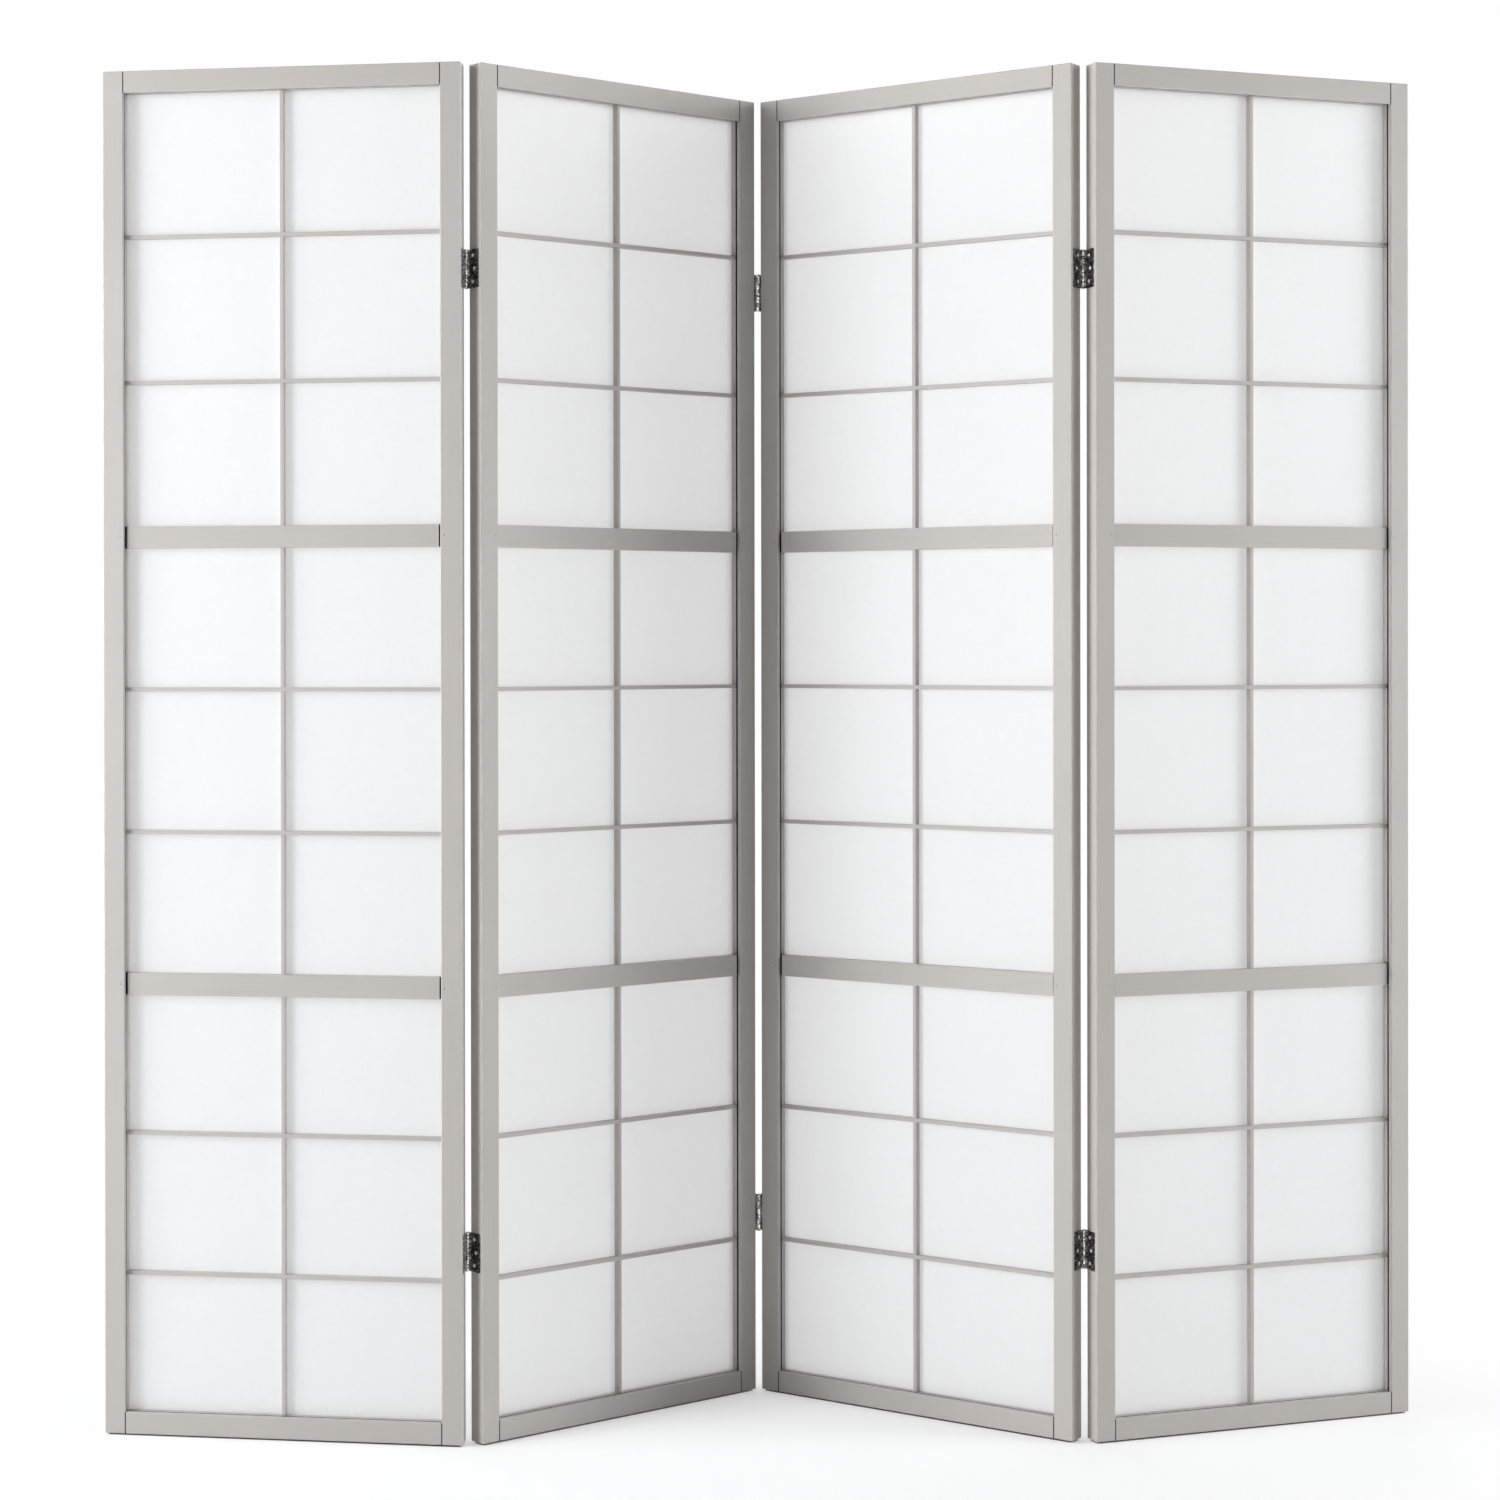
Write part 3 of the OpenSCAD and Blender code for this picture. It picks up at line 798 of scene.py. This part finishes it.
@dataclass
class HingeSide:
    """The two hinges on one side of one panel: leaves with their screws, and pins if it carries them.

    Attributes:
        place: The panel's place.
        edge: The panel's edge that the leaves lie on.
        face: The face that the knuckles stand at.
        outer: Whether these leaves have the two outer knuckles, and so the pins.
        pin_node: The CAD node of the joint's pins.
        axis: A point on the pins' axis.
        sizes: The hinge's sizes.
    """

    place: PanelPlace
    edge: Edge
    face: Face
    outer: bool
    pin_node: str
    axis: Vector
    sizes: HingeSizes = HingeSizes()

    def levels(self) -> dict[str, float]:
        """The mid heights of the lower and upper hinge, from the node of their pins."""
        low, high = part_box(self.pin_node)
        reach = self.sizes.height / 2 + self.sizes.cap_h
        return {"lower": low.z + reach, "upper": high.z - reach}

    def matrix(self, level: float) -> Matrix:
        """From a hinge's frame, X to the panel's edge and Y along the leaf, to the row frame."""
        turn = Matrix.Rotation(self.place.turn, 4, "Z")
        flip = Matrix.Diagonal((self.edge.value, self.face.value, 1.0, 1.0))
        return Matrix.Translation((self.axis.x, self.axis.y, level)) @ turn @ flip

    def screw_spots(self) -> list[tuple[float, float]]:
        """Each screw's place along the leaf and its height from the hinge's middle."""
        s = self.sizes
        reach = s.height / 2 - s.screw_end_inset
        first = s.pin_from_face + s.screw_inset
        return [(first, -reach), (first + s.screw_stagger, 0.0), (first, reach)]

    def build(self, steel: Material, rubbed: Material, bright: Material) -> None:
        """Builds both hinges' pieces on this side.

        Args:
            steel: The leaves' finish, painted near-black as shade.
            rubbed: The knuckles' finish, near white with dark patches: painted highlights and painted
                dark reflections.
            bright: The screws' and pins' finish, near white, partly as painted highlights.
        """
        made = []
        stem = f"{self.place.body}_{self.edge.name.lower()}"
        for where, level in self.levels().items():
            matrix = self.matrix(level)
            leaf = finished_piece(f"{stem}_{where}_hinge_leaf", self._leaf(), steel, matrix)
            leaf.data.materials.append(rubbed)
            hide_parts(f"panel_{self.place.number}_hinge_leaves")
            screws = finished_piece(f"{stem}_{where}_hinge_screws", self._screws(), bright, matrix)
            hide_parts(f"panel_{self.place.number}_hinge_screws")
            made += [leaf, screws]
            if self.outer:
                pin = finished_piece(f"{stem}_{where}_hinge_pin", self._pin(), bright, matrix)
                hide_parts(self.pin_node)
                made.append(pin)
        for piece in made:
            smooth_by_angle(piece)
            break_edges(piece, self.sizes.edge_break)
            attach(piece, self.place.body)

    def _leaf(self) -> BMesh:
        """One leaf with countersunk holes and rolled knuckles, in the hinge's frame."""
        s = self.sizes
        shape = bmesh.new()
        self._plate(shape)
        steps = (-1, 1) if self.outer else (0,)
        for step in steps:
            self._knuckle(shape, step * (s.knuckle_h + s.knuckle_gap))
        return shape

    def _plate(self, shape: BMesh) -> None:
        """The flat plate, with rounded far corners and three round holes."""
        s = self.sizes
        half = s.height / 2
        corners = ((0.0, -half), (s.leaf_w, -half), (s.leaf_w, half), (0.0, half))
        outline = ring(shape, [(0.0, s.pin_from_face + y, z) for y, z in corners])[0]
        bmesh.ops.bevel(
            shape, geom=outline[1:3], offset=s.leaf_corner_r, segments=s.corner_steps, profile=0.5,
            affect="VERTICES", material=-1)
        bore = s.screw_r + s.screw_gap
        for y, z in self.screw_spots():
            bmesh.ops.create_circle(
                shape, cap_ends=False, segments=s.screw_steps, radius=bore,
                matrix=Matrix.Translation((0.0, y, z)) @ LYING)
        fill_between(shape, list(shape.edges))
        bmesh.ops.translate(shape, vec=(s.pin_from_edge, 0.0, 0.0), verts=shape.verts)
        front = bmesh.ops.extrude_face_region(shape, geom=list(shape.faces))["geom"]
        raised = verts_of(front)
        bmesh.ops.translate(shape, vec=(-s.leaf_t, 0.0, 0.0), verts=raised)
        countersink = s.screw_head_r - s.screw_r
        for y, z in self.screw_spots():
            for vert in raised:
                arm = Vector((0.0, vert.co.y - y, vert.co.z - z))
                if abs(arm.length - bore) < s.rim_slack:
                    vert.co += arm.normalized() * countersink

    def _knuckle(self, shape: BMesh, level: float) -> None:
        """A knuckle rolled from the plate round the pin."""
        s = self.sizes
        plate = set(shape.verts)
        inner_r, outer_r = s.knuckle_bore_r, s.knuckle_r
        low, high = level - s.knuckle_h / 2, level + s.knuckle_h / 2
        section = ((inner_r, low), (outer_r, low), (outer_r, high), (inner_r, high))
        start = shape.faces.new([shape.verts.new((x, 0.0, z)) for x, z in section])
        root = bmesh.ops.extrude_face_region(shape, geom=[start])["geom"]
        for vert in verts_of(root):
            inner = vert.co.x < (inner_r + outer_r) / 2
            vert.co.x = s.pin_from_edge - (s.leaf_t if inner else 0.0)
            vert.co.y = s.pin_from_face + s.knuckle_root
        bmesh.ops.spin(
            shape, geom=[start, *start.edges, *start.verts], cent=(0, 0, 0), axis=(0, 0, -1),
            angle=math.radians(s.curl_deg), steps=s.curl_steps, use_merge=False)
        rolled = [vert for vert in shape.verts if vert not in plate]
        # The knuckles take the second finish, with its painted highlights
        for face in {face for vert in rolled for face in vert.link_faces}:
            face.material_index = 1
        bmesh.ops.remove_doubles(shape, verts=rolled, dist=WELD_WITHIN)

    def _pin(self) -> BMesh:
        """A pin with a domed cap at each end, in the hinge's frame."""
        s = self.sizes
        shape = bmesh.new()
        half = s.height / 2
        dome_r = (s.cap_r ** 2 + s.cap_h ** 2) / (2 * s.cap_h)
        profile = [(s.pin_r, 0.0), (s.pin_r, half), (s.cap_r, half)]
        tilt = math.asin(s.cap_r / dome_r)
        for i in range(1, s.cap_steps + 1):
            angle = tilt * (1 - i / s.cap_steps)
            drop = dome_r * (1 - math.cos(angle))
            profile.append((dome_r * math.sin(angle), half + s.cap_h - drop))
        verts = [shape.verts.new((x, 0.0, z)) for x, z in profile]
        edges = [shape.edges.new((a, b)) for a, b in zip(verts, verts[1:])]
        bmesh.ops.spin(
            shape, geom=verts + edges, cent=(0, 0, 0), axis=(0, 0, 1), angle=math.tau,
            steps=s.pin_steps, use_merge=True)
        bmesh.ops.remove_doubles(shape, verts=shape.verts, dist=WELD_WITHIN)
        half_pin = [*shape.verts, *shape.edges, *shape.faces]
        bmesh.ops.mirror(shape, geom=half_pin, axis="Z", merge_dist=WELD_WITHIN)
        return shape

    def _screws(self) -> BMesh:
        """The three countersunk wood screws of a leaf, in the hinge's frame."""
        s = self.sizes
        shape = bmesh.new()
        for row, (y, z) in enumerate(self.screw_spots()):
            part = self._screw(s.slot_turn + s.slot_turn_step * row)
            head = Matrix.Translation((s.pin_from_edge - s.leaf_t, y, z))
            bmesh.ops.transform(part, matrix=head @ LYING, verts=part.verts)
            data = bpy.data.meshes.new("screw")
            part.to_mesh(data)
            part.free()
            shape.from_mesh(data)
            bpy.data.meshes.remove(data)
        return shape

    def _screw(self, slot_turn: float) -> BMesh:
        """A screw with its raised head's rim at the origin and its point along +Z.

        Args:
            slot_turn: How far its cross slot is turned, in radians.

        Returns:
            The screw.
        """
        s = self.sizes
        shape = bmesh.new()
        bmesh.ops.create_circle(
            shape, cap_ends=False, segments=s.screw_steps, radius=s.screw_head_r)
        rim_edges = list(shape.edges)
        near, far = s.slot_half_w, s.slot_half_l
        cross = (
            (near, near), (far, near), (far, -near), (near, -near),
            (near, -far), (-near, -far), (-near, -near), (-far, -near),
            (-far, near), (-near, near), (-near, far), (near, far),
        )
        turn = Matrix.Rotation(slot_turn, 3, "Z")
        corners = []
        for x, y in cross:
            dome = s.head_dome * (1 - (x * x + y * y) / s.screw_head_r ** 2)
            corners.append(turn @ Vector((x, y, -dome)))
        slot_edges = ring(shape, corners)[1]
        fill_between(shape, rim_edges + slot_edges)
        walls = bmesh.ops.extrude_edge_only(shape, edges=slot_edges)["geom"]
        floor = verts_of(walls)
        for vert in floor:
            vert.co.z = s.slot_depth
        fill_between(shape, edges_between(walls, floor))
        head_h = s.screw_head_r - s.screw_r
        shank_l = s.screw_l - s.screw_point_l
        rings = ((s.screw_r, head_h), (s.screw_r, shank_l), (s.screw_r / 4, s.screw_l))
        edges = rim_edges
        radius, level = s.screw_head_r, 0.0
        for next_r, next_level in rings:
            grown = bmesh.ops.extrude_edge_only(shape, edges=edges)["geom"]
            verts = verts_of(grown)
            ratio = next_r / radius
            bmesh.ops.scale(shape, vec=(ratio, ratio, 1.0), verts=verts)
            bmesh.ops.translate(shape, vec=(0.0, 0.0, next_level - level), verts=verts)
            edges = edges_between(grown, verts)
            radius, level = next_r, next_level
        bmesh.ops.contextual_create(shape, geom=edges)
        return shape


@dataclass
class FoldingScreen:
    """The whole screen: it finds its panels, dresses the wood and adds the sheets and hinges."""

    frame: dict
    groups: EffectGroups
    sizes: ScreenSizes = ScreenSizes()

    def dress(self) -> None:
        """Gives every wooden node its finish, and makes the sheets and the hinges."""
        frame_paint = PaintedWood("frame paint", (0.540, 0.506, 0.474, 1.0))
        lattice_paint = PaintedWood("lattice paint", (0.538, 0.510, 0.482, 1.0), wear=0.2)
        bare = BareWood()
        # The leaves' steel is painted near-black: painted shade standing for the dark reflections in
        # the gaps between the panels
        steel = PlatedSteel(
            "dark hinge steel", (0.085, 0.080, 0.074, 1.0), (0.60, 0.59, 0.57, 1.0), 0.24,
            patches_per_m=520, patch_levels=(0.50, 0.62), patch_depth=0.9).make()
        # The knuckles' steel is near white with near-black patches: painted highlights and painted
        # dark reflections
        rubbed = PlatedSteel(
            "rubbed hinge steel", (0.90, 0.89, 0.87, 1.0), (0.08, 0.075, 0.07, 1.0), 0.18,
            patches_per_m=420, patch_levels=(0.44, 0.55), patch_depth=0.95).make()
        # The screws and pins are near-white steel, brighter than plated steel: bright plating and
        # partly painted highlights
        bright = PlatedSteel(
            "bright screw steel", (0.97, 0.96, 0.94, 1.0), (0.80, 0.78, 0.75, 1.0), 0.38).make()
        brads = PlatedSteel(
            "dull brad steel", (0.18, 0.17, 0.16, 1.0), (0.10, 0.09, 0.08, 1.0), 0.5).make()
        sheet = TranslucentSheet().make(self.groups)
        nodes = self.frame["nodes"]
        places = [PanelPlace.read(n, nodes[f"panel_{n}_sheet"], self.sizes) for n in range(1, 5)]
        sheets = SheetMaker(self.sizes)
        for place in places:
            self._paint_panel(place, frame_paint, lattice_paint)
            self._wear(f"{place.body}_corner_dowels", bare.make(self.groups, place))
            self._wear(f"{place.body}_mid_rail_brads", brads)
            sheets.build(place, sheet)
        for side in self._hinge_sides(places):
            side.build(steel, rubbed, bright)

    def _paint_panel(self, place: PanelPlace, frame_paint: PaintedWood,
                     lattice_paint: PaintedWood) -> None:
        """Paints the wooden nodes of one panel, each with the grain along its length."""
        s = self.sizes
        slack = 0.2 * MM
        # Painted shade, near black: inside the rebates, on the lip's inner edge and the edging beside
        # it, and on the mid rails past their shoulders
        in_rebate = PaintedRecessShade((slack, s.rebate_w + 2 * slack), (s.lip_t - slack, s.frame_t - slack))
        lip_edge = PaintedRecessShade((-slack, 2 * slack), (s.lip_t - s.shade_line_w, s.lip_t))
        past_shoulder = PaintedRecessShade(
            (-s.shoulder_gap - slack, s.rebate_w), (s.mid_rail_front + slack, s.frame_t))
        by_lip = PaintedRecessShade((-s.shade_line_w, s.rebate_w), (s.lip_t, s.edging_front + slack))
        middle = PaintedWood("middle rail paint", frame_paint.colour)
        edging = PaintedWood("edging paint", lattice_paint.colour, wear=0.3)
        beads = PaintedWood("bead paint", frame_paint.colour)
        finishes = (
            (frame_paint, Grain.UPRIGHT, (in_rebate, lip_edge), ("left_stile", "right_stile")),
            (frame_paint, Grain.ALONG, (in_rebate, lip_edge), ("top_rail", "bottom_rail")),
            (middle, Grain.ALONG, (past_shoulder,), ("mid_rails",)),
            (edging, Grain.UPRIGHT, (by_lip,), ("lattice_edging",)),
            (beads, Grain.UPRIGHT, (), ("back_beads",)),
            (lattice_paint, Grain.UPRIGHT, (), ("lattice_centre_bar",)),
            (lattice_paint, Grain.ALONG, (), ("lattice_cross_bars",)),
        )
        for paint, grain, shaded_parts, nodes in finishes:
            material = paint.make(self.groups, place, grain, shaded_parts)
            for node in nodes:
                self._wear(f"{place.body}_{node}", material)

    def _wear(self, node: str, material: Material) -> None:
        """Puts a finish on all of a CAD node."""
        data = self.frame["nodes"][node].data
        data.materials.clear()
        data.materials.append(material)
        log.info("dressed %s", node)

    def _hinge_sides(self, places: list[PanelPlace]) -> list[HingeSide]:
        """The six sides that carry hinge leaves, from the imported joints."""
        sides = []
        for left, right, face in zip(places, places[1:], (Face.BACK, Face.FRONT, Face.BACK)):
            pair = f"{left.number}_{right.number}"
            joint = next(j for j in self.frame["joints"] if j["name"] == f"fold_{pair}")
            axis = Vector(joint["pos_m"])
            for place, edge in ((left, Edge.RIGHT), (right, Edge.LEFT)):
                outer = joint["parent"] == place.body
                sides.append(HingeSide(place, edge, face, outer, f"hinge_pins_{pair}", axis))
        return sides


@dataclass(frozen=True)
class PhotoCamera:
    """Where the photograph was taken from. The pixel values are in its 1500 by 1500 frame."""

    place: tuple[float, float, float] = (-0.28894, -3.88525, 0.98144)
    focal_px: float = 3041.6
    frame_px: float = 1500.0
    axis_x_px: float = 535.6
    axis_y_px: float = 656.5
    tilt_down_deg: float = 0.182
    roll_deg: float = -0.089
    sensor_mm: float = 36.0
    sight_m: float = 100.0

    def build(self) -> None:
        """Makes the camera and gives it to the scene."""
        data = bpy.data.cameras.new("photo camera")
        data.sensor_fit = "HORIZONTAL"
        data.sensor_width = self.sensor_mm
        data.lens = self.focal_px * self.sensor_mm / self.frame_px
        data.shift_x = (self.frame_px / 2 - self.axis_x_px) / self.frame_px
        data.shift_y = (self.axis_y_px - self.frame_px / 2) / self.frame_px
        data.clip_end = self.sight_m
        camera = in_scene("photo camera", data)
        upright = Matrix.Rotation(math.radians(90 - self.tilt_down_deg), 4, "X")
        roll = Matrix.Rotation(math.radians(self.roll_deg), 4, "Z")
        camera.matrix_world = Matrix.Translation(self.place) @ upright @ roll
        bpy.context.scene.camera = camera


@dataclass(frozen=True)
class Softbox:
    """A large soft lamp that looks at a point.

    Attributes:
        name: Its name.
        azimuth_deg: Its direction from the screen, from +X towards +Y.
        distance: Its distance from the screen's middle in plan.
        height: The height of its middle.
        size: Its width and height.
        watts: Its power.
        colour: Its light's colour.
    """

    name: str
    azimuth_deg: float
    distance: float
    height: float
    size: tuple[float, float]
    watts: float
    colour: tuple[float, float, float] = (0.94, 0.97, 1.0)

    def build(self, target: Vector) -> None:
        """Makes the lamp, turned to the target."""
        data = bpy.data.lights.new(self.name, "AREA")
        data.shape = "RECTANGLE"
        data.size, data.size_y = self.size
        data.energy = self.watts
        data.color = self.colour
        lamp = in_scene(self.name, data)
        angle = math.radians(self.azimuth_deg)
        plan = (self.distance * math.cos(angle), self.distance * math.sin(angle))
        lamp.location = (*plan, self.height)
        lamp.rotation_euler = (target - lamp.location).to_track_quat("-Z", "Y").to_euler()


@dataclass(frozen=True)
class BrightWall:
    """A wide soft glow of the studio's walls or ceiling, brightest in one direction.

    Attributes:
        azimuth_deg: Its direction from the screen, from +X towards +Y.
        strength: Its light in that direction.
        tightness: How fast it falls off to the sides.
        elevation_deg: Its direction's height above the floor.
    """

    azimuth_deg: float
    strength: float
    tightness: float = 16.0
    elevation_deg: float = 0.0

    def level(self, s: Shader, way: NodeSocket) -> NodeSocket:
        """The wall's light along a direction."""
        angle = math.radians(self.azimuth_deg)
        rise = math.radians(self.elevation_deg)
        middle = (math.cos(angle) * math.cos(rise), math.sin(angle) * math.cos(rise), math.sin(rise))
        facing = s.vector("DOT_PRODUCT", way, middle)
        glow = s.maths("POWER", s.maths("MAXIMUM", facing.outputs["Value"], 0.0), self.tightness)
        return s.maths("MULTIPLY", glow, self.strength)


@dataclass
class Studio:
    """A plain white studio: the floor, the bright walls at the sides and behind, and the soft lamps.

    The floor is seen darker than it lights the screen and gets a glow, floor_lift, so that only
    shadows show on it. It fades into the background between near_floor and far_floor, measured
    after fade_scale. It lies floor_drop under the feet, with a painted contact shadow, a dark line,
    where a foot is nearer than contact_reach.
    """

    floor_colour: Colour = (0.86, 0.86, 0.86, 1.0)
    seen_floor_colour: Colour = (0.68, 0.68, 0.68, 1.0)
    contact_shadow_colour: Colour = (0.10, 0.095, 0.09, 1.0)
    floor_lift: float = 0.405
    floor_drop: float = 2.2 * MM
    floor_reach: float = 12.0
    contact_reach: float = 8 * MM
    near_floor: float = 0.35
    far_floor: float = 0.95
    fade_scale: tuple[float, float, float] = (0.8, 1.0, 0.0)
    walls: tuple[BrightWall, ...] = (
        BrightWall(0, 8.2),
        BrightWall(90, 11.1),
        BrightWall(195, 8.4),
        BrightWall(345, 2.2),
        BrightWall(0, 0.45, tightness=4.0, elevation_deg=90.0),
    )
    softboxes: tuple[Softbox, ...] = (
        Softbox("left softbox", 195, 2.6, 1.4, (1.25, 1.9), 20),
        Softbox("left front softbox", 207, 2.6, 1.2, (0.55, 1.8), 23),
        Softbox("right softbox", 349, 3.0, 1.1, (1.05, 2.3), 33),
    )
    target: tuple[float, float, float] = (0.0, 0.0, 1.0)

    def build(self) -> None:
        """Makes the studio and sets how colours are shown."""
        bpy.context.scene.view_settings.view_transform = "Standard"
        self._world()
        self._floor()
        for softbox in self.softboxes:
            softbox.build(Vector(self.target))

    def _seen(self, s: Shader) -> NodeSocket:
        """One for the rays that show the background: the camera's, mirrored and passing ones."""
        path = s.add("LightPath").outputs
        bounced = s.maths("MAXIMUM", path["Is Glossy Ray"], path["Is Transmission Ray"])
        return s.maths("MAXIMUM", path["Is Camera Ray"], bounced)

    def _world(self) -> None:
        """White where it is seen, and bright walls for the light."""
        world = bpy.data.worlds.new("studio")
        world.use_nodes = True
        world.node_tree.nodes.clear()
        s = Shader(world.node_tree)
        out = s.add("OutputWorld")
        way = s.add("TexCoord").outputs["Generated"]
        room = 0.0
        for wall in self.walls:
            room = s.maths("ADD", room, wall.level(s, way))
        level = s.add("Mix", {"data_type": "FLOAT"})
        s.fill(level, Factor=self._seen(s), A=room, B=1.0)
        background = s.add("Background", Color=WHITE, Strength=level.outputs["Result"])
        s.fill(out, Surface=background.outputs["Background"])
        bpy.context.scene.world = world

    def _floor(self) -> None:
        """A wide white floor that keeps the screen's shadow and runs into the white background."""
        shape = bmesh.new()
        bmesh.ops.create_grid(shape, x_segments=1, y_segments=1, size=self.floor_reach)
        material, s, out = new_material("studio floor")
        seen = self._seen(s)
        # Painted contact shadow: near a foot the glow fades out and the seen colour turns to the dark
        # contact shadow colour
        contact = s.add("AmbientOcclusion", {"samples": 12}, Distance=self.contact_reach)
        clear_of_contact_shadow = s.ramp(contact.outputs["AO"], 0.1, 0.4)
        open_floor = s.maths("MULTIPLY", seen, clear_of_contact_shadow)
        seen_colour = s.blend(clear_of_contact_shadow, self.contact_shadow_colour, self.seen_floor_colour)
        diffuse = s.add("BsdfDiffuse", Color=s.blend(seen, self.floor_colour, seen_colour))
        away = s.vector("LENGTH", s.stretched(s.place(), self.fade_scale))
        far = s.ramp(away.outputs["Value"], self.near_floor, self.far_floor)
        lift = s.add(
            "Emission", Color=WHITE, Strength=s.maths("MULTIPLY", open_floor, self.floor_lift))
        near = s.add("AddShader")
        s.feed_each(near.inputs, diffuse.outputs["BSDF"], lift.outputs["Emission"])
        white = s.add("Emission", Color=WHITE, Strength=1.0).outputs["Emission"]
        faded = s.maths("MULTIPLY", open_floor, far)
        s.fill(out, Surface=s.mixed(faded, near.outputs["Shader"], white))
        under = Matrix.Translation((0.0, 0.0, -self.floor_drop))
        floor = finished_piece("studio_floor", shape, material, under)


def main() -> None:
    """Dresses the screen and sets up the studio."""
    logging.basicConfig(level=logging.INFO, format="%(name)s: %(message)s")
    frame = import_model()
    PhotoCamera().build()
    FoldingScreen(frame, EffectGroups()).dress()
    Studio().build()


if __name__ == "__main__":
    main()
